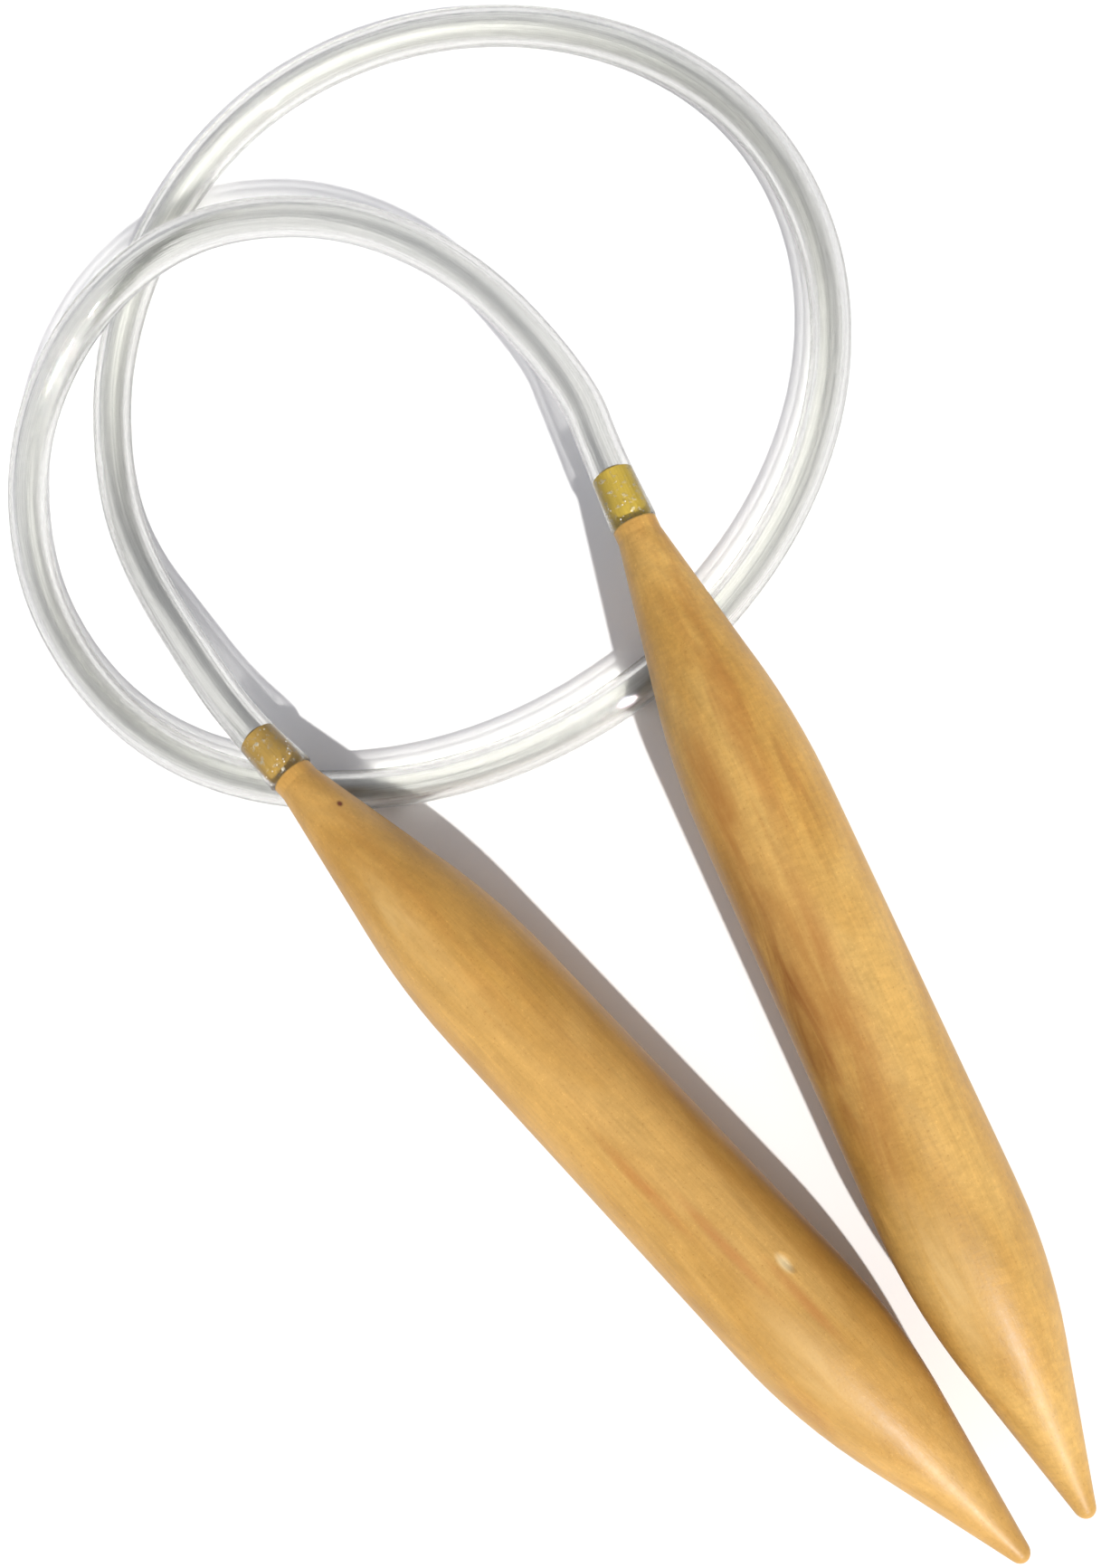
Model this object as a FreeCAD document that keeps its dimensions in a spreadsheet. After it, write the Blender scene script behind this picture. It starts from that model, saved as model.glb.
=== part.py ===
import FreeCAD, Part
import Sketcher
import math
import os

# Circular knitting needle: two wooden needle tips joined by a flexible clear tube.
# Millimetres. Z is up, the table is at z = 0, and the needle points face -Y.

V = FreeCAD.Vector
doc = FreeCAD.newDocument("circular_needle")

# ---------------------------------------------------------------- sizes
SIZES = {
    # needle tip, measured along its axis from the tenon's end
    "tip_length": 197.8,
    "tenon_length": 11.5,
    "tenon_radius": 2.6,
    "tenon_chamfer": 0.4,
    "neck_radius": 4.3,
    "neck_end": 13.85,
    "tail_angle": 10.54,
    "tail_blend_radius": 142.0,
    "gauge_radius": 12.5,
    "point_angle": 15.4,
    "point_blend_radius": 100.0,
    "nose_radius": 1.9,
    # clear tube
    "tube_radius": 4.0,
    "bore_radius": 2.5,
    "mouth_radius": 4.35,
    "mouth_bore": 3.3,
    "tenon_end_radius": 4.15,
    "tenon_end_bore": 2.72,
    "flare_reach": 4.0,
    # glue between the tenon and the tube
    "glue_face": 0.4,
    "glue_end": 0.5,
    "fit_gap": 0.08,
    # where the two tips lie
    "tail_x": 42.85,
    "tail_y": 96.97,
    "splay_angle": 10.7,
    "right_pitch": 2.2,
    "left_pitch": 1.0,
    "straight_exit": 18.5,
}

sheet = doc.addObject("Spreadsheet::Sheet", "Sizes")
for row, (name, value) in enumerate(SIZES.items(), start=1):
    sheet.set("A%d" % row, name)
    sheet.set("B%d" % row, str(value))
    sheet.setAlias("B%d" % row, name)
doc.recompute()


def size(name):
    return float(getattr(sheet, name))


# Route of the tube between its two straight ends, chosen by hand on the table. It leaves the
# right tip, passes over its own end at a hump with two points at the top, lies round the loop
# under both tips, runs under the hump, and rises into the left tip.
ROUTE = [
    (43.8, 147.0, 19.5),
    (31.0, 174.0, 20.0),
    (12.0, 191.5, 20.0),
    (-8.0, 199.0, 20.0),
    (-33.0, 196.5, 20.0),
    (-54.0, 182.5, 12.0),
    (-67.0, 160.0, 4.0),
    (-70.0, 134.0, 4.0),
    (-62.0, 110.0, 4.0),
    (-46.0, 90.0, 4.0),
    (-22.0, 74.0, 4.0),
    (6.0, 65.5, 4.0),
    (36.0, 65.5, 4.0),
    (65.0, 74.5, 4.0),
    (89.0, 92.0, 4.0),
    (105.0, 117.0, 4.0),
    (109.5, 147.0, 4.0),
    (101.5, 176.5, 4.0),
    (82.0, 201.5, 4.0),
    (56.0, 217.5, 4.0),
    (26.0, 222.0, 4.0),
    (-4.0, 212.5, 4.0),
    (-28.0, 192.5, 4.0),
    (-43.0, 168.0, 4.0),
    (-50.0, 146.0, 9.0),
]


# ---------------------------------------------------------------- where the tips lie
def tail_height(pitch):
    """Height of the tail end that leaves the needle's blend resting on the table."""
    angle = math.radians(pitch)
    blend = size("point_blend_radius")
    length = size("tip_length")
    slope = math.radians(size("point_angle"))
    nose = size("nose_radius")
    apex = length - nose + nose / math.sin(slope)
    corner = apex - size("gauge_radius") / math.tan(slope)
    start = corner - blend * math.tan(slope / 2)
    return start * math.sin(angle) - (blend - size("gauge_radius")) * math.cos(angle) + blend


def tip_placement(side):
    sign = {"right": 1, "left": -1}[side]
    pitch = size(side + "_pitch")
    base = V(sign * size("tail_x"), size("tail_y"), tail_height(pitch))
    turn = FreeCAD.Rotation(-90 - sign * size("splay_angle"), pitch, 0)
    return FreeCAD.Placement(base, turn)


PLACES = {side: tip_placement(side) for side in ("left", "right")}


def on_axis(side, along):
    """The point of a tip's axis at a distance from its tenon's end."""
    return PLACES[side].multVec(V(along, 0, 0))


# ---------------------------------------------------------------- needle tips
def horizontal_corner(u, angle, radius, rising):
    """Centre and tangent points of the blend between the gauge line and a sloping line."""
    reach = radius * math.tan(angle / 2)
    top = size("gauge_radius")
    flat = V(u + reach if rising else u - reach, top, 0)
    step = V(math.cos(angle), math.sin(angle) if rising else -math.sin(angle), 0)
    corner = V(u, top, 0)
    sloping = corner - step * reach if rising else corner + step * reach
    return V(flat.x, top - radius, 0), flat, sloping


def arc(centre, start, end):
    """Anticlockwise arc of a circle from start to end."""
    radius = (start - centre).Length
    first = math.atan2(start.y - centre.y, start.x - centre.x)
    last = math.atan2(end.y - centre.y, end.x - centre.x)
    return Part.ArcOfCircle(Part.Circle(centre, V(0, 0, 1), radius), first, last)


def tip_profile(sketch):
    """Half outline of a tip: tenon, shoulder, neck, tail cone, gauge, point cone and nose."""
    tail = math.radians(size("tail_angle"))
    point = math.radians(size("point_angle"))
    nose = size("nose_radius")
    length = size("tip_length")
    gauge = size("gauge_radius")
    neck = V(size("neck_end"), size("neck_radius"), 0)
    tail_corner = neck.x + (gauge - neck.y) / math.tan(tail)
    apex = length - nose + nose / math.sin(point)
    point_corner = apex - gauge / math.tan(point)
    c1, flat1, slope1 = horizontal_corner(tail_corner, tail, size("tail_blend_radius"), True)
    c2, flat2, slope2 = horizontal_corner(point_corner, point, size("point_blend_radius"), False)
    c3 = V(length - nose, 0, 0)
    touch = c3 + V(math.sin(point), math.cos(point), 0) * nose

    origin = V(0, 0, 0)
    chamfer = size("tenon_chamfer")
    tenon = size("tenon_radius")
    shoulder = size("tenon_length")
    corners = [origin, V(0, tenon - chamfer, 0), V(chamfer, tenon, 0), V(shoulder, tenon, 0),
               V(shoulder, neck.y, 0), neck, slope1]
    lines = [sketch.addGeometry(Part.LineSegment(a, b), False)
             for a, b in zip(corners, corners[1:])]
    axis_start, chamfered, tenon_side, face, neck_side, tail_cone = lines
    tail_blend = sketch.addGeometry(arc(c1, flat1, slope1), False)
    gauge_line = sketch.addGeometry(Part.LineSegment(flat1, flat2), False)
    point_blend = sketch.addGeometry(arc(c2, slope2, flat2), False)
    point_cone = sketch.addGeometry(Part.LineSegment(slope2, touch), False)
    nose_arc = sketch.addGeometry(arc(c3, V(length, 0, 0), touch), False)
    axis_line = sketch.addGeometry(Part.LineSegment(V(length, 0, 0), origin), False)

    def add(*parts):
        return sketch.addConstraint(Sketcher.Constraint(*parts))

    START, END, CENTRE = 1, 2, 3
    for first, second in zip(lines, lines[1:]):
        add("Coincident", first, END, second, START)
    add("Coincident", axis_line, END, axis_start, START)
    add("Coincident", axis_start, START, -1, START)
    add("Vertical", axis_start)
    add("Horizontal", tenon_side)
    add("Vertical", face)
    add("Horizontal", neck_side)
    add("Horizontal", gauge_line)
    add("Horizontal", axis_line)
    add("Tangent", tail_cone, END, tail_blend, END)
    add("Tangent", tail_blend, START, gauge_line, START)
    add("Tangent", gauge_line, END, point_blend, END)
    add("Tangent", point_blend, START, point_cone, START)
    add("Tangent", point_cone, END, nose_arc, END)
    add("Coincident", nose_arc, START, axis_line, START)
    add("PointOnObject", nose_arc, CENTRE, -1)

    def driven(cell, *parts):
        index = add(*parts)
        sketch.setExpression("Constraints[%d]" % index, "Sizes." + cell)

    def driven_angle(cell, *parts):
        index = add(*parts)
        sketch.setExpression("Constraints[%d]" % index, "Sizes.%s * 1 deg" % cell)

    driven("tenon_radius", "DistanceY", -1, START, tenon_side, START, tenon)
    driven("tenon_chamfer", "DistanceX", -1, START, tenon_side, START, chamfer)
    driven("tenon_chamfer", "DistanceY", chamfered, START, chamfered, END, chamfer)
    driven("tenon_length", "DistanceX", -1, START, face, START, shoulder)
    driven("neck_radius", "DistanceY", -1, START, neck_side, START, neck.y)
    driven("neck_end", "DistanceX", -1, START, neck_side, END, neck.x)
    driven("gauge_radius", "DistanceY", -1, START, gauge_line, START, gauge)
    driven("tail_blend_radius", "Radius", tail_blend, size("tail_blend_radius"))
    driven("point_blend_radius", "Radius", point_blend, size("point_blend_radius"))
    driven("nose_radius", "Radius", nose_arc, nose)
    driven("tip_length", "DistanceX", -1, START, axis_line, START, length)
    driven_angle("tail_angle", "Angle", -1, START, tail_cone, START, tail)
    driven_angle("point_angle", "Angle", point_cone, END, axis_line, START, point)


def make_tip(side):
    body = doc.addObject("PartDesign::Body", side + "_tip")
    body.Label = side + "_tip"
    sketch = body.newObject("Sketcher::SketchObject", side + "_tip_outline")
    plane = [f for f in body.Origin.OriginFeatures if f.Role == "XY_Plane"][0]
    sketch.AttachmentSupport = [(plane, "")]
    sketch.MapMode = "FlatFace"
    tip_profile(sketch)
    turned = body.newObject("PartDesign::Revolution", side + "_tip_turned")
    turned.Profile = sketch
    turned.ReferenceAxis = (sketch, ["H_Axis"])
    turned.Angle = 360
    body.Placement = PLACES[side]
    return body


# ---------------------------------------------------------------- clear tube
def turned_solid(outline, place):
    """Solid of revolution about a tip's axis, from (along, radius) points."""
    points = [V(u, r, 0) for u, r in outline]
    wire = Part.makePolygon(points + points[:1])
    solid = Part.Face(wire).revolve(V(0, 0, 0), V(1, 0, 0), 360)
    solid.Placement = place
    return solid


def rounded_route(points):
    """Straight runs joined by tangent arcs, each as large as its two runs allow."""
    edges, radii = [], []
    start = points[0]
    for before, corner, after in zip(points, points[1:], points[2:]):
        back = (before - corner)
        ahead = (after - corner)
        reach = 0.45 * min(back.Length, ahead.Length)
        back.normalize()
        ahead.normalize()
        half_turn = (math.pi - back.getAngle(ahead)) / 2
        radii.append(reach / math.tan(half_turn))
        leave, join = corner + back * reach, corner + ahead * reach
        inward = (back + ahead).normalize()
        depth = radii[-1] / math.cos(half_turn) - radii[-1]
        edges.append(Part.LineSegment(start, leave).toShape())
        edges.append(Part.Arc(leave, corner + inward * depth, join).toShape())
        start = join
    edges.append(Part.LineSegment(start, points[-1]).toShape())
    return Part.Wire(edges), radii


def pipe(wire, start, along, radius):
    circle = Part.Wire([Part.Circle(start, along, radius).toShape()])
    return wire.makePipeShell([circle], True, False)


def make_tube():
    mouth = size("tenon_length") - size("glue_face")
    flare = -size("flare_reach")
    ends = {side: on_axis(side, flare) for side in PLACES}
    middle = [on_axis("right", -size("straight_exit"))]
    middle += [V(*point) for point in ROUTE]
    middle += [on_axis("left", -size("straight_exit"))]
    full = [on_axis("right", mouth)] + middle + [on_axis("left", mouth)]
    whole, radii = rounded_route(full)
    runs = [(b - a).Length for a, b in zip(full, full[1:])]
    print("tube runs mm:", " ".join("%.1f" % run for run in runs))
    print("tube arc radii mm:", " ".join("%.0f" % radius for radius in radii))
    print("tube route length mm: %.1f" % whole.Length)

    # the plain tube, from flare to flare, has the same arcs as the whole route
    edges = whole.Edges
    edges[0] = Part.LineSegment(ends["right"], edges[0].valueAt(edges[0].LastParameter)).toShape()
    last = edges[-1]
    edges[-1] = Part.LineSegment(last.valueAt(last.FirstParameter), ends["left"]).toShape()
    path = Part.Wire(edges)
    along = full[1] - full[0]
    outer = pipe(path, ends["right"], along, size("tube_radius"))
    bore = pipe(path, ends["right"], along, size("bore_radius"))
    plain = outer.cut(bore)
    section = math.pi * (size("tube_radius") ** 2 - size("bore_radius") ** 2)
    print("tube volume %.0f, section x length %.0f" % (plain.Volume, section * path.Length))

    outline = [(flare, size("bore_radius")), (0, size("tenon_end_bore")), (mouth, size("mouth_bore")),
               (mouth, size("mouth_radius")), (0, size("tenon_end_radius")), (flare, size("tube_radius"))]
    solid = plain
    for side in ("left", "right"):
        solid = solid.fuse(turned_solid(outline, PLACES[side]))
    return solid.Solids[0]


# ---------------------------------------------------------------- glue
def make_glue():
    """Glue round the tenon inside the tube's mouth, and the thin layer against the shoulder."""
    gap = size("fit_gap")
    mouth = size("tenon_length") - size("glue_face")
    start = size("glue_end")

    def bore(u):
        share = u / mouth
        return size("tenon_end_bore") + share * (size("mouth_bore") - size("tenon_end_bore"))

    tenon = size("tenon_radius")
    shoulder = size("tenon_length")
    rim = size("mouth_radius")
    face = mouth + gap
    outline = [(start, tenon), (shoulder, tenon), (shoulder, rim), (face, rim),
               (face, bore(face) - gap), (start, bore(start) - gap)]
    return turned_solid(outline, FreeCAD.Placement())


def add_feature(name, shape, place=None):
    feature = doc.addObject("Part::Feature", name)
    feature.Label = name
    feature.Shape = shape
    feature.Placement = place or FreeCAD.Placement()
    return feature


nodes = [make_tip(side) for side in ("left", "right")]
nodes.append(add_feature("tube", make_tube()))
nodes += [add_feature(side + "_glue", make_glue(), PLACES[side]) for side in ("left", "right")]
doc.recompute()

# ---------------------------------------------------------------- checks and export
for item in doc.Objects:
    for word in ("Invalid", "Error"):
        if word in item.State:
            raise RuntimeError("%s is %s" % (item.Label, word))

os.makedirs("parts", exist_ok=True)
bounds = FreeCAD.BoundBox()
for node in nodes:
    shape = node.Shape
    if shape.isNull() or not shape.isValid() or len(shape.Solids) != 1:
        raise RuntimeError("bad shape: " + node.Label)
    shape.exportStep("parts/%s.step" % node.Label)
    box = shape.BoundBox
    print("%-12s volume %9.1f  x %.2f..%.2f  y %.2f..%.2f  z %.2f..%.2f" % (
        node.Label, shape.Volume, box.XMin, box.XMax, box.YMin, box.YMax, box.ZMin, box.ZMax))
    if node.Label != "tube":
        bounds.add(box)
print("tips and glue, centre x %.3f y %.3f bottom %.3f" % (
    bounds.Center.x, bounds.Center.y, bounds.ZMin))

tube = [node for node in nodes if node.Label == "tube"][0].Shape
for node in nodes:
    if node.Label != "tube":
        print("gap tube to %s: %.3f mm" % (node.Label, tube.distToShape(node.Shape)[0]))
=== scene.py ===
# %% [markdown]
# # Circular knitting needle
# Two turned wooden needle tips, joined by a clear flexible tube that lies in one big loop.
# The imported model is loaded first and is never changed. Each step below adds a piece, a
# finish or a light, and says why it is made that way.

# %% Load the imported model
import bpy, bmesh, math, random
from mathutils import Matrix, Vector


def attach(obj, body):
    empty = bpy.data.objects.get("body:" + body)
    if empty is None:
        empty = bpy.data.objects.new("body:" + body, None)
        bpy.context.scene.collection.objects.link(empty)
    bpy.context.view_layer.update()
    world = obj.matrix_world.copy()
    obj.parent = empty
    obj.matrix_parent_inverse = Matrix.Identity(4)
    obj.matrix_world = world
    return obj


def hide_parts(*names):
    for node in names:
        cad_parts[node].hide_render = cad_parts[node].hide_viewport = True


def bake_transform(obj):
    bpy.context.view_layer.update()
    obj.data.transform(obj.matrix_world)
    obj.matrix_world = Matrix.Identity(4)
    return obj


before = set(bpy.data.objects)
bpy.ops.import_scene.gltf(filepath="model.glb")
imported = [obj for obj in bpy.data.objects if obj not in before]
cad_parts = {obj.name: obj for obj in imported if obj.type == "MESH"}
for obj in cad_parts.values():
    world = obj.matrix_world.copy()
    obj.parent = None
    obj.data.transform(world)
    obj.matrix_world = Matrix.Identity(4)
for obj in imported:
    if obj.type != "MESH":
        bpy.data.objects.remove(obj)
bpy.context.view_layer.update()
scene = bpy.context.scene
random.seed(7)

# %% [markdown]
# ## The camera
# The needle is seen from close above, a little askew. A camera is set by where it stands and
# by three directions: its right, its up, and the way it looks. Those make a rotation matrix,
# which is steadier than turning three angles by trial.

# %% The camera
def make_camera(place, right, up, lens):
    data = bpy.data.cameras.new("camera")
    camera = bpy.data.objects.new("camera", data)
    scene.collection.objects.link(camera)
    right, up = Vector(right).normalized(), Vector(up)
    back = right.cross(up).normalized()
    up = back.cross(right)
    camera.matrix_world = Matrix.Translation(place) @ Matrix((right, up, back)).transposed().to_4x4()
    data.sensor_width = 36.0
    data.lens = lens
    data.clip_start, data.clip_end = 0.005, 20.0
    return camera

scene.camera = make_camera(
    place=(0.02066, -0.00356, 0.26065),
    right=(0.8167, -0.5425, -0.1968),
    up=(0.5714, 0.8079, 0.1442),
    lens=36.0 * 1500 / 1733)
print("camera at", [round(v, 3) for v in scene.camera.location])

# %% [markdown]
# ## The tube's route
# The tube is 8 mm across with a 5 mm bore, and about 0.80 m long. A flexible tube has no
# corners, so its centreline is one NURBS curve of order 3, steered by listed points. It
# starts on the right tip's axis, arches over its own loop, comes down to the table, passes
# under both tips and then under the arch, and climbs into the left tip.

# %% The route's points and the smooth line through them
TUBE = 0.0040          # outer radius
BORE = 0.0025          # bore radius
MOUTH = 0.0111         # the tube's end face, measured from the tenon's end
SHOULDER = 0.0115      # the tip's shoulder, measured from the tenon's end
LEFT_SWELL = 0.0007    # how far the tenon stretches each mouth outwards
RIGHT_SWELL = 0.0004

RIGHT_TAIL = Vector((0.04285, 0.09697, 0.018102))
RIGHT_AXIS = Vector((-0.185530, -0.981889, -0.038388))
LEFT_TAIL = Vector((-0.04285, 0.09697, 0.015031))
LEFT_AXIS = Vector((0.185638, -0.982463, -0.017452))

ROUTE = [
    (0.04079, 0.08607, 0.01768),
    (0.04359, 0.10090, 0.01825),
    (0.04740, 0.11500, 0.01880),
    (0.04440, 0.14720, 0.01920),
    (0.03150, 0.17350, 0.01950),
    (0.01140, 0.19060, 0.01950),
    (-0.00880, 0.19750, 0.01800),
    (-0.03190, 0.19400, 0.01650),
    (-0.05420, 0.18270, 0.01050),
    (-0.06890, 0.16070, 0.00500),
    (-0.07070, 0.13390, 0.00400),
    (-0.06350, 0.10920, 0.00400),
    (-0.04740, 0.08850, 0.00400),
    (-0.02300, 0.07200, 0.00400),
    (0.00570, 0.06340, 0.00400),
    (0.03630, 0.06330, 0.00400),
    (0.06590, 0.07280, 0.00400),
    (0.08990, 0.09120, 0.00400),
    (0.10550, 0.11680, 0.00400),
    (0.10990, 0.14700, 0.00400),
    (0.10150, 0.17650, 0.00400),
    (0.08210, 0.20170, 0.00400),
    (0.05610, 0.21770, 0.00400),
    (0.02600, 0.22240, 0.00400),
    (-0.00430, 0.21320, 0.00400),
    (-0.02880, 0.19310, 0.00400),
    (-0.04300, 0.16800, 0.00400),
    (-0.04720, 0.14580, 0.00650),
    (-0.04490, 0.11530, 0.01420),
    (-0.04359, 0.10090, 0.01510),
    (-0.04079, 0.08607, 0.01484),
]

def route_line(points):
    """The points of the NURBS route, read from a curve with no thickness."""
    data = bpy.data.curves.new("route", "CURVE")
    data.dimensions = "3D"
    spline = data.splines.new("NURBS")
    spline.points.add(len(points) - 1)
    for knot, place in zip(spline.points, points):
        knot.co = (*place, 1.0)
    spline.order_u = 3
    spline.use_endpoint_u = True
    spline.resolution_u = 10
    holder = bpy.data.objects.new("route", data)
    mesh = bpy.data.meshes.new_from_object(holder)
    line = [v.co.copy() for v in mesh.vertices]
    bpy.data.objects.remove(holder)
    bpy.data.meshes.remove(mesh)
    return line

def distances(line):
    """How far along the line each point lies."""
    along = [0.0]
    for a, b in zip(line, line[1:]):
        along.append(along[-1] + (b - a).length)
    return along

LINE = route_line(ROUTE)
ALONG = distances(LINE)
print("route: %d points, %.3f m long" % (len(LINE), ALONG[-1]))

# %% [markdown]
# ## The clear tube
# A clear tube only looks right with a real wall, because light bends at its outside and again
# at its bore. A ring of points is carried along the route without twisting. Behind each tip
# the tube bends when the tip swings, so the tube is made in three lengths that meet ring to
# ring: the loop, which stays, and two ends, one behind each tip. In each mouth the tube is
# stretched over the tenon, so it swells like a trumpet towards the shoulder.

# %% Rings carried along the route
SIDES = 40
END_REACH = 0.075       # length of each end piece
TRUMPET_REACH = 0.0125  # how far the swell runs back from the end face
SEAT_REACH = 0.004      # how far behind the mouth the tube is still a little stretched
EDGE = 0.0001           # slack when a ring is matched to the mouth

def turning_frames(line):
    """A side direction at each point, turned along the line without twist."""
    side = Vector((0, 0, 1)).cross(line[1] - line[0]).normalized()
    frames = []
    for i, place in enumerate(line):
        tangent = (line[min(i + 1, len(line) - 1)] - line[max(i - 1, 0)]).normalized()
        side = (side - tangent * side.dot(tangent)).normalized()
        frames.append((place, side, tangent.cross(side)))
    return frames

FRAMES = turning_frames(LINE)

def eased(x):
    """A smooth step from 0 to 1."""
    x = min(max(x, 0.0), 1.0)
    return x * x * (3 - 2 * x)

def tube_radii(along):
    """Outer and bore radius at a distance along the route."""
    swell, reach = RIGHT_SWELL, along
    if along > ALONG[-1] / 2:
        swell, reach = LEFT_SWELL, ALONG[-1] - along
    trumpet = eased(1 - reach / TRUMPET_REACH) ** 1.3
    seated = eased(1 - (reach - MOUTH) / SEAT_REACH)
    outer = TUBE + 0.00010 * seated + swell * trumpet
    bore = BORE + 0.00012 * seated
    return outer, bore

def ring(bm, frame_at, radius, along):
    """A ring of points. Each remembers where it is: its turn, as a circle, and its distance."""
    place, side, other = frame_at
    remembered = bm.verts.layers.float_vector.get("tube_place")
    made = []
    for k in range(SIDES):
        turn = 2 * math.pi * k / SIDES
        v = bm.verts.new(place + (side * math.cos(turn) + other * math.sin(turn)) * radius)
        v[remembered] = (math.cos(turn), math.sin(turn), along)
        made.append(v)
    return made

# %% Lengths of tube
def nearest(distance):
    """The route point closest to a distance along the route."""
    return min(range(len(LINE)), key=lambda i: abs(ALONG[i] - distance))

def skin(bm, rings, flip):
    """Faces between neighbouring rings."""
    for a, b in zip(rings, rings[1:]):
        for k in range(SIDES):
            j = (k + 1) % SIDES
            corners = (a[k], b[k], b[j], a[j])
            bm.faces.new(corners[::-1] if flip else corners).smooth = True

def finish_mesh(bm, name, body=None):
    """Turns the mesh into a smooth piece, riding on a body if one is given."""
    mesh = bpy.data.meshes.new(name)
    bm.to_mesh(mesh)
    bm.free()
    mesh.shade_smooth()
    piece = bpy.data.objects.new(name, mesh)
    scene.collection.objects.link(piece)
    if body:
        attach(piece, body)
    return piece

def tube_length(first, last):
    """The tube between two points of the route, with its outer wall and its bore."""
    bm = bmesh.new()
    bm.verts.layers.float_vector.new("tube_place")
    steps = range(first, last + 1)
    radii = [tube_radii(ALONG[i]) for i in steps]
    outer = [ring(bm, FRAMES[i], r[0], ALONG[i]) for i, r in zip(steps, radii)]
    # the bore ends at the tenon, whose wetted wood closes it
    dry = [(i, r) for i, r in zip(steps, radii)
           if MOUTH - EDGE <= ALONG[i] <= ALONG[-1] - MOUTH + EDGE]
    bore = [ring(bm, FRAMES[i], r[1], ALONG[i]) for i, r in dry]
    skin(bm, outer, True)
    skin(bm, bore, False)
    return bm, outer, bore

CUT_RIGHT, CUT_LEFT = nearest(END_REACH), nearest(ALONG[-1] - END_REACH)
bm, _, _ = tube_length(CUT_RIGHT, CUT_LEFT)
tube_loop = finish_mesh(bm, "tube_loop", "cord")
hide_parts("tube")

# %% The two ends, with their mouths
FILLET = (0.01152, 0.00428)   # the mouth's glue edge at the shoulder: along the axis, radius
SEAL = (0.0005, 0.00259)      # the bore's glue edge round the tenon: along the axis, radius

def close_rim(bm, rim, tail, axis, edge):
    """Draws a rim of the tube on to a circle about the tip's axis."""
    along, radius = edge
    rim_edges = [e for e in bm.edges if e.is_boundary and e.verts[0] in rim]
    closing = bmesh.ops.extrude_edge_only(bm, edges=rim_edges)["geom"]
    for v in [v for v in closing if isinstance(v, bmesh.types.BMVert)]:
        out_from = v.co - tail - axis * (v.co - tail).dot(axis)
        v.co = tail + axis * along + out_from.normalized() * radius

def tube_end(name, first, last, mouth, tail, axis):
    """An end of the tube. Its mouth, ring 0 or ring -1, is closed by glue on the tip."""
    bm, outer, bore = tube_length(first, last)
    close_rim(bm, outer[mouth], tail, axis, FILLET)
    close_rim(bm, bore[mouth], tail, axis, SEAL)
    piece = finish_mesh(bm, name)
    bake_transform(piece)
    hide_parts("tube")
    return piece

right_end = tube_end("tube_right_end", 0, CUT_RIGHT, 0, RIGHT_TAIL, RIGHT_AXIS)
left_end = tube_end("tube_left_end", CUT_LEFT, len(LINE) - 1, -1, LEFT_TAIL, LEFT_AXIS)
right_line = LINE[:CUT_RIGHT + 1]
left_line = LINE[CUT_LEFT:][::-1]
for piece, line in ((right_end, right_line), (left_end, left_line)):
    print(piece.name, "%.3f m" % distances(line)[-1])

# %% [markdown]
# ## Shader helpers
# Nodes are easier to read when each is made in one line. `node` adds one and sets its values;
# `wire` joins two sockets.

# %% Shader helpers
def node(tree, kind, values=None, **settings):
    made = tree.nodes.new("ShaderNode" + kind)
    for key, value in settings.items():
        setattr(made, key, value)
    for key, value in (values or {}).items():
        made.inputs[key].default_value = value
    return made

def wire(tree, start, end):
    tree.links.new(start, end)

def ramp(tree, source, stops, ease="LINEAR"):
    made = node(tree, "ValToRGB")
    made.color_ramp.interpolation = ease
    elements = made.color_ramp.elements
    while len(elements) < len(stops):
        elements.new(0.5)
    for element, (at, colour) in zip(elements, stops):
        element.position = at
        element.color = (*colour, 1.0)
    wire(tree, source, made.inputs["Fac"])
    return made.outputs["Color"]

def new_material(name):
    material = bpy.data.materials.new(name)
    material.use_nodes = True
    tree = material.node_tree
    tree.nodes.clear()
    return material, tree, node(tree, "OutputMaterial")

# %% [markdown]
# ## The figured wood
# The tips are turned from a pale hardwood under satin lacquer. Long soft bands run the length
# of the needle, thin brown streaks follow them, fine fibres and pores lie along the grain, and
# a silky figure crosses it. Bright bluish-white specks among the pores are painted glints. Both
# tips share one node group, and each gives it its own colours and strengths. The pattern reads
# the tip's own axes: a Mapping node turns the object's coordinates until X runs along the
# needle, in metres from the tenon's end.

# %% Small node helpers for patterns
def mix_colour(tree, factor, first, second, blend="MIX"):
    made = node(tree, "Mix", data_type="RGBA", blend_type=blend)
    pairs = ((factor, made.inputs[0]), (first, made.inputs[6]), (second, made.inputs[7]))
    for value, socket in pairs:
        if isinstance(value, bpy.types.NodeSocket):
            wire(tree, value, socket)
        elif isinstance(value, (int, float)):
            socket.default_value = value
        else:
            socket.default_value = (*value, 1.0)
    return made.outputs[2]

def calc(tree, operation, first, second=0.0, clamp=False):
    made = node(tree, "Math", operation=operation, use_clamp=clamp)
    for value, socket in ((first, made.inputs[0]), (second, made.inputs[1])):
        if isinstance(value, bpy.types.NodeSocket):
            wire(tree, value, socket)
        else:
            socket.default_value = value
    return made.outputs[0]

def stretched(tree, vector, scale, location=(0, 0, 0)):
    made = node(tree, "Mapping", {"Scale": scale, "Location": location})
    wire(tree, vector, made.inputs["Vector"])
    return made.outputs["Vector"]

def noise(tree, vector, scale, detail=3.0, rough=0.5, distort=0.0):
    made = node(tree, "TexNoise", {"Scale": scale, "Detail": detail, "Roughness": rough,
                                   "Distortion": distort})
    wire(tree, vector, made.inputs["Vector"])
    return made.outputs["Fac"]

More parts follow.
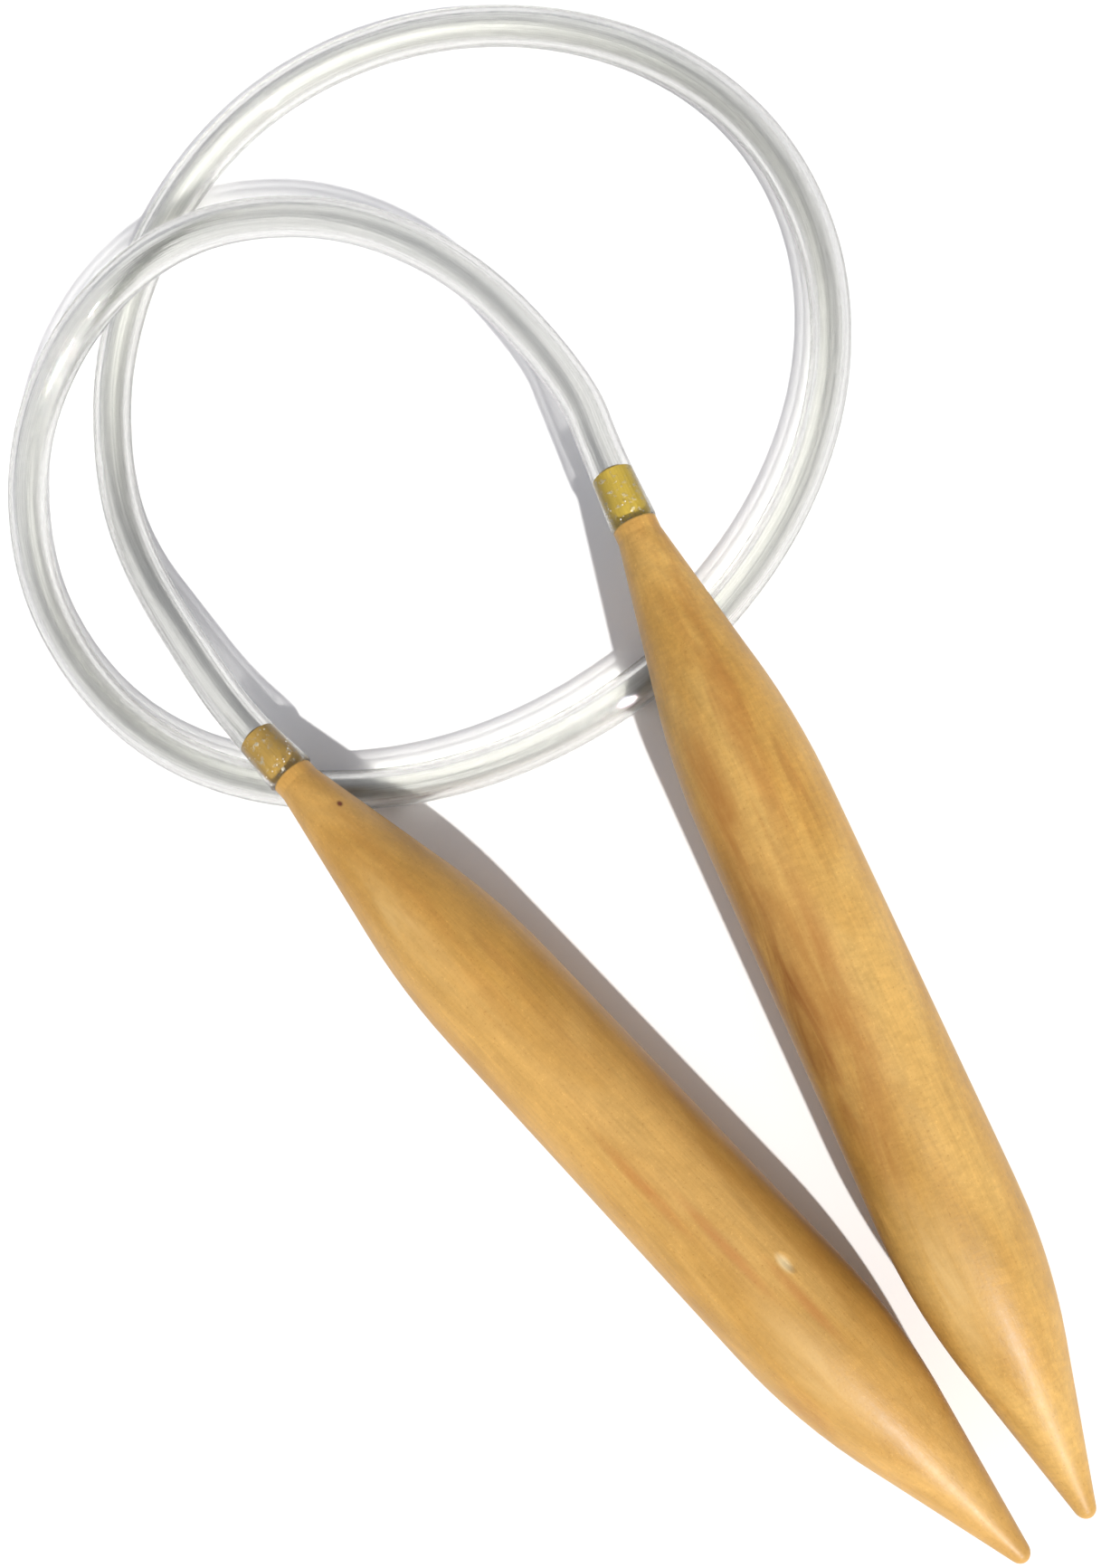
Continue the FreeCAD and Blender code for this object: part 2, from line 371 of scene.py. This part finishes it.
def grey_ramp(tree, source, low, high, dark, light):
    """A multiplying shade from dark to light as the source goes from low to high."""
    return ramp(tree, source, [(low, (dark, dark, dark)), (high, (light, light, light))])

# %% The wood group
def wood_group():
    group = bpy.data.node_groups.new("figured_wood", "ShaderNodeTree")
    face = group.interface
    face.new_socket("Vector", in_out="INPUT", socket_type="NodeSocketVector")
    for name in ("Pale", "Honey", "Brown"):
        face.new_socket(name, in_out="INPUT", socket_type="NodeSocketColor")
    for name in ("Streaks", "Silk"):
        face.new_socket(name, in_out="INPUT", socket_type="NodeSocketFloat")
    face.new_socket("Color", in_out="OUTPUT", socket_type="NodeSocketColor")
    face.new_socket("Roughness", in_out="OUTPUT", socket_type="NodeSocketFloat")
    face.new_socket("Height", in_out="OUTPUT", socket_type="NodeSocketFloat")
    given, made = group.nodes.new("NodeGroupInput"), group.nodes.new("NodeGroupOutput")
    vector = given.outputs["Vector"]
    bands = noise(group, stretched(group, vector, (16, 62, 62)), 1.0, 3.0, 0.55, 1.2)
    streaks = noise(group, stretched(group, vector, (16, 210, 210), (3, 1, 2)), 1.0, 3.0, 0.6, 0.8)
    mottle = noise(group, stretched(group, vector, (110, 240, 240), (2, 7, 1)), 1.0, 3.0, 0.6, 0.5)
    where = noise(group, stretched(group, vector, (22, 60, 60), (5, 4, 2)), 1.0, 1.0, 0.5)
    fibres = noise(group, stretched(group, vector, (70, 1900, 1900)), 1.0, 2.0, 0.6)
    silk = noise(group, stretched(group, vector, (1100, 420, 420)), 1.0, 2.0, 0.6, 0.4)
    specks = noise(group, vector, 1900.0, 3.0, 0.7)
    band_mask = ramp(group, bands, [(0.34, (0, 0, 0)), (0.66, (1, 1, 1))], "EASE")
    base = mix_colour(group, band_mask, given.outputs["Honey"], given.outputs["Pale"])
    streak_mask = ramp(group, streaks, [(0.46, (0, 0, 0)), (0.74, (1, 1, 1))], "EASE")
    where_mask = ramp(group, where, [(0.42, (0.1, 0.1, 0.1)), (0.62, (1, 1, 1))], "EASE")
    brown = calc(group, "MULTIPLY", calc(group, "MULTIPLY", streak_mask, where_mask),
                 given.outputs["Streaks"], True)
    base = mix_colour(group, brown, base, given.outputs["Brown"])
    base = mix_colour(group, 1.0, base, grey_ramp(group, mottle, 0.32, 0.68, 0.90, 1.06), "MULTIPLY")
    base = mix_colour(group, 1.0, base, grey_ramp(group, fibres, 0.3, 0.7, 0.93, 1.04), "MULTIPLY")
    silky = mix_colour(group, 1.0, base, grey_ramp(group, silk, 0.35, 0.65, 0.91, 1.08), "MULTIPLY")
    base = mix_colour(group, given.outputs["Silk"], base, silky)
    # dark specks are pores; the bright bluish-white specks are painted glints
    pore_and_glint_tone = ramp(group, specks, [(0.26, (0.78, 0.70, 0.58)), (0.40, (1, 1, 1)),
                                       (0.60, (1, 1, 1)), (0.72, (1.20, 1.22, 1.28))])
    base = mix_colour(group, 1.0, base, pore_and_glint_tone, "MULTIPLY")
    wire(group, base, made.inputs["Color"])
    rough = node(group, "MapRange", {"From Min": 0.3, "From Max": 0.7,
                                     "To Min": 0.44, "To Max": 0.62})
    sheen = calc(group, "ADD", calc(group, "MULTIPLY", silk, 0.5),
                 calc(group, "MULTIPLY", fibres, 0.5))
    wire(group, sheen, rough.inputs["Value"])
    wire(group, rough.outputs["Result"], made.inputs["Roughness"])
    height = calc(group, "ADD", calc(group, "MULTIPLY", fibres, 0.5), calc(group, "MULTIPLY", specks, 0.5))
    wire(group, height, made.inputs["Height"])
    return group

WOOD = wood_group()
print("wood group:", len(WOOD.nodes), "nodes")

# %% [markdown]
# Marks that belong to one place, such as a dark knot, a brown cloud or a small dent, are soft
# spots, and so are the painted highlights on the top of a needle and over its dent. A spot is
# the distance from a chosen point, with its own reach along and across the grain, turned into a
# mask that fades outwards.

# %% A soft spot on the wood
def spot(tree, vector, place, reach, strength):
    """A mask of the given strength at a place, fading to nothing at its reach."""
    scale = tuple(1 / r for r in reach)
    shift = tuple(-p * s for p, s in zip(place, scale))
    moved = stretched(tree, vector, scale, shift)
    far = node(tree, "VectorMath", operation="LENGTH")
    wire(tree, moved, far.inputs[0])
    fade = node(tree, "MapRange", {"From Min": 0.15, "From Max": 1.0, "To Min": strength,
                                   "To Max": 0.0}, interpolation_type="SMOOTHSTEP")
    wire(tree, far.outputs["Value"], fade.inputs["Value"])
    return fade.outputs["Result"]

def stepped(tree, value, start, end):
    """0 before start and 1 after end, along the needle."""
    made = node(tree, "MapRange", {"From Min": start, "From Max": end}, interpolation_type="SMOOTHSTEP")
    wire(tree, value, made.inputs["Value"])
    return made.outputs["Result"]

# %% Wood on each tip
def wood_material(name, tail, axis, pale, honey, brown, streaks, silk, glued, spots, dent=None):
    material, tree, output = new_material(name)
    place = node(tree, "TexCoord").outputs["Object"]
    turn = axis.to_track_quat("X", "Z").inverted()
    local = node(tree, "Mapping", {"Rotation": turn.to_euler("XYZ"), "Location": -(turn @ tail)})
    wire(tree, place, local.inputs["Vector"])
    here = local.outputs["Vector"]
    wood = node(tree, "Group", node_tree=WOOD)
    wire(tree, here, wood.inputs["Vector"])
    for key, colour in (("Pale", pale), ("Honey", honey), ("Brown", brown)):
        wood.inputs[key].default_value = (*colour, 1.0)
    wood.inputs["Streaks"].default_value = streaks
    wood.inputs["Silk"].default_value = silk
    colour = wood.outputs["Color"]
    ragged = stretched(tree, here, (38, 170, 170), (1, 2, 3))
    ragged = grey_ramp(tree, noise(tree, ragged, 1.0, 3.0, 0.6, 1.0), 0.35, 0.65, 0.25, 1.0)
    for where, reach, strength, tone in spots:
        mask = spot(tree, here, where, reach, strength)
        if max(reach) > 0.004:
            mask = calc(tree, "MULTIPLY", mask, ragged)
        colour = mix_colour(tree, mask, colour, tone)
    # glue has soaked the tenon. A thin dark line is painted at its end, as painted shade on its end face,
    # and at the shoulder, as a glue line with painted shade in the crease
    split = node(tree, "SeparateXYZ")
    wire(tree, here, split.inputs[0])
    along = split.outputs["X"]
    soaked = calc(tree, "SUBTRACT", 1.0, stepped(tree, along, SHOULDER - 0.0003, SHOULDER + 0.0001))
    tinted = mix_colour(tree, 0.85, colour, glued)
    colour = mix_colour(tree, soaked, colour, tinted)
    # painted shade where the tenon's end face shows
    ends = calc(tree, "SUBTRACT", 1.0, stepped(tree, along, 0.0002, 0.0006))
    # the shoulder's line: a glue line with painted shade in the crease
    line = calc(tree, "SUBTRACT", stepped(tree, along, SHOULDER - 0.0004, SHOULDER - 0.0002),
                stepped(tree, along, SHOULDER + 0.0001, SHOULDER + 0.0003))
    colour = mix_colour(tree, calc(tree, "MULTIPLY", calc(tree, "MAXIMUM", ends, line), 0.45), colour,
                        (0.22, 0.13, 0.03))
    height = wood.outputs["Height"]
    if dent:
        height = calc(tree, "SUBTRACT", height, spot(tree, here, *dent))
    bump = node(tree, "Bump", {"Strength": 0.35, "Distance": 0.0002})
    wire(tree, height, bump.inputs["Height"])
    shader = node(tree, "BsdfPrincipled", {"Coat Weight": 0.16, "Coat Roughness": 0.36,
                                           "Specular IOR Level": 0.42})
    wire(tree, colour, shader.inputs["Base Color"])
    wire(tree, wood.outputs["Roughness"], shader.inputs["Roughness"])
    wire(tree, bump.outputs["Normal"], shader.inputs["Normal"])
    wire(tree, shader.outputs["BSDF"], output.inputs["Surface"])
    return material

def dress(piece, material):
    piece.data.materials.clear()
    piece.data.materials.append(material)

# each spot: its place and reach along, across and up from the tenon's end, strength, colour
BROWN, RED_BROWN = (0.38, 0.155, 0.025), (0.26, 0.09, 0.014)
# the cream colour paints highlights: its spots on the top of each needle are painted highlights
RUST, CREAM_HIGHLIGHT = (0.44, 0.16, 0.03), (0.74, 0.49, 0.19)
left_wood = wood_material(
    "left_wood", LEFT_TAIL, LEFT_AXIS,
    pale=(0.60, 0.345, 0.092), honey=(0.50, 0.265, 0.052), brown=(0.40, 0.165, 0.030),
    streaks=0.25, silk=0.25, glued=(0.44, 0.275, 0.045), spots=[
     ((0.0240, 0.0038, 0.0048), (0.0010, 0.0007, 0.0012), 1.2, (0.14, 0.03, 0.008)),
     ((0.156, -0.0082, 0.009), (0.009, 0.003, 0.006), 0.8, BROWN),
     ((0.088, 0.006, 0.011), (0.018, 0.004, 0.006), 0.2, BROWN),
     ((0.118, 0.0105, 0.006), (0.062, 0.005, 0.008), 0.55, BROWN),
     ((0.112, -0.0020, 0.012), (0.015, 0.0016, 0.006), 0.8, RUST),
     ((0.128, 0.0012, 0.012), (0.015, 0.0015, 0.006), 0.8, RUST),
     ((0.143, 0.0045, 0.012), (0.012, 0.0014, 0.006), 0.7, RUST),
     ((0.152, -0.002, 0.011), (0.020, 0.006, 0.008), 0.6, CREAM_HIGHLIGHT),
     ((0.050, -0.002, 0.011), (0.026, 0.004, 0.008), 0.5, CREAM_HIGHLIGHT),
     # a pale spot painted over the dent: a painted highlight where light catches the dent
     ((0.1373, 0.0062, 0.0108), (0.0026, 0.0011, 0.003), 0.9, (0.86, 0.68, 0.38))],
    dent=((0.1376, 0.0067, 0.0106), (0.0024, 0.0010, 0.003), 6.0))
right_wood = wood_material(
    "right_wood", RIGHT_TAIL, RIGHT_AXIS,
    pale=(0.62, 0.37, 0.10), honey=(0.51, 0.275, 0.055), brown=(0.33, 0.125, 0.020),
    streaks=0.45, silk=0.65, glued=(0.54, 0.39, 0.03), spots=[
     ((0.104, -0.0095, 0.008), (0.046, 0.0070, 0.009), 1.0, RED_BROWN),
     ((0.066, -0.0070, 0.010), (0.028, 0.006, 0.008), 0.8, BROWN),
     ((0.106, -0.0048, 0.0115), (0.036, 0.005, 0.007), 0.6, BROWN),
     ((0.056, 0.002, 0.012), (0.022, 0.004, 0.007), 0.8, BROWN),
     ((0.100, -0.002, 0.012), (0.034, 0.005, 0.007), 0.7, BROWN),
     ((0.128, -0.006, 0.011), (0.020, 0.005, 0.007), 0.6, BROWN),
     ((0.152, -0.005, 0.010), (0.020, 0.007, 0.008), 0.8, CREAM_HIGHLIGHT)])
dress(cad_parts["left_tip"], left_wood)
dress(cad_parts["right_tip"], right_wood)

# %% [markdown]
# ## Clear soft plastic
# The tube is clear PVC: it bends light more than water and less than window glass does. It is
# drawn through a die, which leaves faint lines along its whole length, and it carries a little
# haze. Those come from the place that each ring remembers, so they follow the tube round every
# bend. Lamps shine through it onto the table: their rays pass with a small loss face on and a
# strong one at a glancing angle, which draws the tube's shadow with dark edges. The camera
# sees real refraction.

# %% Lines and haze of drawn plastic
def drawn_plastic_group():
    group = bpy.data.node_groups.new("drawn_plastic", "ShaderNodeTree")
    face = group.interface
    face.new_socket("Vector", in_out="INPUT", socket_type="NodeSocketVector")
    face.new_socket("Tint", in_out="INPUT", socket_type="NodeSocketColor")
    face.new_socket("Color", in_out="OUTPUT", socket_type="NodeSocketColor")
    face.new_socket("Roughness", in_out="OUTPUT", socket_type="NodeSocketFloat")
    face.new_socket("Height", in_out="OUTPUT", socket_type="NodeSocketFloat")
    given, made = group.nodes.new("NodeGroupInput"), group.nodes.new("NodeGroupOutput")
    vector = given.outputs["Vector"]
    broad = noise(group, stretched(group, vector, (3.5, 3.5, 9)), 1.0, 1.0, 0.5)
    lines = noise(group, stretched(group, vector, (24, 24, 6), (2, 5, 1)), 1.0, 2.0, 0.6)
    dust = noise(group, stretched(group, vector, (9, 9, 2200), (4, 1, 3)), 1.0, 2.0, 0.7)
    lined = grey_ramp(group, lines, 0.36, 0.56, 0.80, 1.0)
    tint = mix_colour(group, 1.0, given.outputs["Tint"], lined, "MULTIPLY")
    broadly = grey_ramp(group, broad, 0.35, 0.65, 0.92, 1.02)
    tint = mix_colour(group, 1.0, tint, broadly, "MULTIPLY")
    wire(group, tint, made.inputs["Color"])
    haze = node(group, "MapRange", {"From Min": 0.55, "From Max": 0.8, "To Min": 0.0, "To Max": 0.05})
    wire(group, dust, haze.inputs["Value"])
    wire(group, haze.outputs["Result"], made.inputs["Roughness"])
    height = calc(group, "ADD", calc(group, "MULTIPLY", broad, 0.7), calc(group, "MULTIPLY", lines, 0.3))
    wire(group, height, made.inputs["Height"])
    return group

PLASTIC = drawn_plastic_group()

# %% Clear tube material
def clear_material(name, tint, ior, lamp_face, lamp_edge):
    material, tree, output = new_material(name)
    place = node(tree, "Attribute", attribute_name="tube_place").outputs["Vector"]
    plastic = node(tree, "Group", node_tree=PLASTIC)
    wire(tree, place, plastic.inputs["Vector"])
    plastic.inputs["Tint"].default_value = (*tint, 1.0)
    bump = node(tree, "Bump", {"Strength": 0.35, "Distance": 0.00025})
    wire(tree, plastic.outputs["Height"], bump.inputs["Height"])
    shader = node(tree, "BsdfPrincipled", {"IOR": ior, "Transmission Weight": 1.0})
    wire(tree, plastic.outputs["Color"], shader.inputs["Base Color"])
    wire(tree, plastic.outputs["Roughness"], shader.inputs["Roughness"])
    wire(tree, bump.outputs["Normal"], shader.inputs["Normal"])
    glancing = node(tree, "LayerWeight", {"Blend": 0.5})
    shade = ramp(tree, glancing.outputs["Facing"], [(0.15, lamp_face), (0.8, lamp_edge)])
    passed = node(tree, "BsdfTransparent")
    wire(tree, shade, passed.inputs["Color"])
    rays = node(tree, "LightPath")
    mixed = node(tree, "MixShader")
    wire(tree, rays.outputs["Is Shadow Ray"], mixed.inputs[0])
    wire(tree, shader.outputs["BSDF"], mixed.inputs[1])
    wire(tree, passed.outputs["BSDF"], mixed.inputs[2])
    wire(tree, mixed.outputs["Shader"], output.inputs["Surface"])
    return material

clear_tube = clear_material("clear_tube", tint=(0.90, 0.905, 0.885), ior=1.53,
                            lamp_face=(0.80, 0.80, 0.79), lamp_edge=(0.25, 0.25, 0.26))
for piece in (tube_loop, right_end, left_end):
    dress(piece, clear_tube)

# %% [markdown]
# ## The glue
# Clear glue holds each tenon in the tube. It fills the trumpet between them and carries small
# bubbles. It is modelled as a thin turned sleeve round the tenon, with round bubbles in it,
# whose near-white colour is a painted glint.

# %% Glue sleeves
GLUE_INNER, GLUE_OUTER = 0.0008, 0.0110   # the sleeve's ends, from the tenon's end
GLUE_FLARE = 0.0070                       # where the sleeve starts to widen
GLUE_BORE = 0.00264                       # the sleeve's bore radius, just clear of the tenon
BEADS = 34                                # bubbles tried in each mouth

def turned(bm, outline, tail, axis, steps=32):
    """Spins an outline of (along, radius) points about a tip's axis."""
    side = axis.cross(Vector((0, 0, 1))).normalized()
    verts = [bm.verts.new(tail + axis * u + side * r) for u, r in outline]
    edges = [bm.edges.new(pair) for pair in zip(verts, verts[1:] + verts[:1])]
    bmesh.ops.spin(bm, geom=verts + edges, cent=tail, axis=axis, angle=2 * math.pi,
                   steps=steps, use_merge=True)
    bmesh.ops.remove_doubles(bm, verts=bm.verts, dist=1e-6)
    bmesh.ops.recalc_face_normals(bm, faces=bm.faces)

def glue_sleeve(tail, axis, swell):
    """The sleeve and its bubbles, which crowd towards the mouth."""
    bm = bmesh.new()
    outline = [(GLUE_INNER, GLUE_BORE), (GLUE_OUTER, GLUE_BORE),
               (GLUE_OUTER, 0.0031 + swell * 0.6), (GLUE_FLARE, 0.0029), (GLUE_INNER, 0.00270)]
    turned(bm, outline, tail, axis)
    bm_beads = bmesh.new()
    across = axis.cross(Vector((0, 0, 1))).normalized()
    upward = across.cross(axis)
    for _ in range(BEADS):
        u = 0.0106 - abs(random.gauss(0, 0.0036))
        if u < 0.001:
            continue
        angle = random.uniform(0, 2 * math.pi)
        far = 0.0031 + max(u - GLUE_FLARE, 0) * 0.12
        place = tail + axis * u + (across * math.cos(angle) + upward * math.sin(angle)) * far
        size = random.uniform(0.00006, 0.00020)
        bmesh.ops.create_icosphere(bm_beads, subdivisions=2, radius=size,
                                   matrix=Matrix.Translation(place))
    return bm, bm_beads

glue_pieces = []
for side, tail, axis, swell in (("left", LEFT_TAIL, LEFT_AXIS, LEFT_SWELL),
                                ("right", RIGHT_TAIL, RIGHT_AXIS, RIGHT_SWELL)):
    sleeve, beads = glue_sleeve(tail, axis, swell)
    sleeve_piece = finish_mesh(sleeve, side + "_glue_sleeve", side)
    bead_piece = finish_mesh(beads, side + "_glue_bubbles", side)
    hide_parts(side + "_glue")
    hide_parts(side + "_glue")
    glue_pieces.append((sleeve_piece, bead_piece))
print("glue pieces:", [p.name for pair in glue_pieces for p in pair])

# %% Glue materials
def glue_material():
    """Mostly clear, with an olive tint and a few milky streaks."""
    material, tree, output = new_material("glue")
    place = node(tree, "TexCoord").outputs["Object"]
    streaks = noise(tree, place, 900.0, 3.0, 0.6)
    milky = ramp(tree, streaks, [(0.58, (0, 0, 0)), (0.72, (1, 1, 1))])
    alpha = calc(tree, "MULTIPLY", milky, 0.45)
    shader = node(tree, "BsdfPrincipled", {"Base Color": (0.85, 0.80, 0.62, 1.0), "Roughness": 0.3})
    wire(tree, alpha, shader.inputs["Alpha"])
    wire(tree, shader.outputs["BSDF"], output.inputs["Surface"])
    return material

def bubble_glint_material():
    # the bubbles' near-white colour is a painted glint of light in them
    material, tree, output = new_material("glue_bubbles")
    place = node(tree, "TexCoord").outputs["Object"]
    speck = noise(tree, place, 2500.0, 1.0, 0.5)
    shade = ramp(tree, speck, [(0.35, (0.80, 0.78, 0.70)), (0.65, (1.0, 0.99, 0.95))])
    shader = node(tree, "BsdfPrincipled", {"Roughness": 0.15, "Alpha": 0.8})
    wire(tree, shade, shader.inputs["Base Color"])
    wire(tree, shader.outputs["BSDF"], output.inputs["Surface"])
    return material

GLUE, BUBBLE_GLINTS = glue_material(), bubble_glint_material()
for sleeve_piece, bead_piece in glue_pieces:
    dress(sleeve_piece, GLUE)
    dress(bead_piece, BUBBLE_GLINTS)

# %% [markdown]
# ## Floor and light
# The needle lies on a plain white table in strong light from the side of its points, so each
# tip throws a clear, cool shadow towards its neighbour. A large floor and a bright world, a
# little darker near the horizon, keep the table white; one warm-white lamp makes the shadows.

# %% Floor
def make_floor():
    bm = bmesh.new()
    bmesh.ops.create_grid(bm, x_segments=1, y_segments=1, size=40.0)
    mesh = bpy.data.meshes.new("floor")
    bm.to_mesh(mesh)
    bm.free()
    floor = bpy.data.objects.new("floor", mesh)
    scene.collection.objects.link(floor)
    material, tree, output = new_material("floor")
    shader = node(tree, "BsdfPrincipled", {"Base Color": (0.92, 0.92, 0.93, 1.0), "Roughness": 0.8,
                                           "Specular IOR Level": 0.1})
    wire(tree, shader.outputs["BSDF"], output.inputs["Surface"])
    mesh.materials.append(material)

make_floor()

# %% Light
def add_sun(name, direction, strength, size, colour):
    data = bpy.data.lights.new(name, "SUN")
    data.energy, data.angle, data.color = strength, size, colour
    lamp = bpy.data.objects.new(name, data)
    scene.collection.objects.link(lamp)
    lamp.rotation_mode = "QUATERNION"
    lamp.rotation_quaternion = Vector(direction).to_track_quat("-Z", "Y")

world = bpy.data.worlds.new("studio")
scene.world = world
world.use_nodes = True
background = world.node_tree.nodes["Background"]
outward = node(world.node_tree, "SeparateXYZ")
wire(world.node_tree, node(world.node_tree, "TexCoord").outputs["Generated"], outward.inputs[0])
HORIZON, ABOVE = (0.82, 0.83, 0.88), (0.93, 0.94, 1.0)
sky = ramp(world.node_tree, outward.outputs["Z"], [(0.0, HORIZON), (0.5, ABOVE)])
wire(world.node_tree, sky, background.inputs["Color"])
background.inputs["Strength"].default_value = 0.46
add_sun("key", (-0.01, 0.725, -0.69), 3.9, math.radians(1.5), (1.0, 0.98, 0.95))
scene.view_settings.view_transform = "Standard"
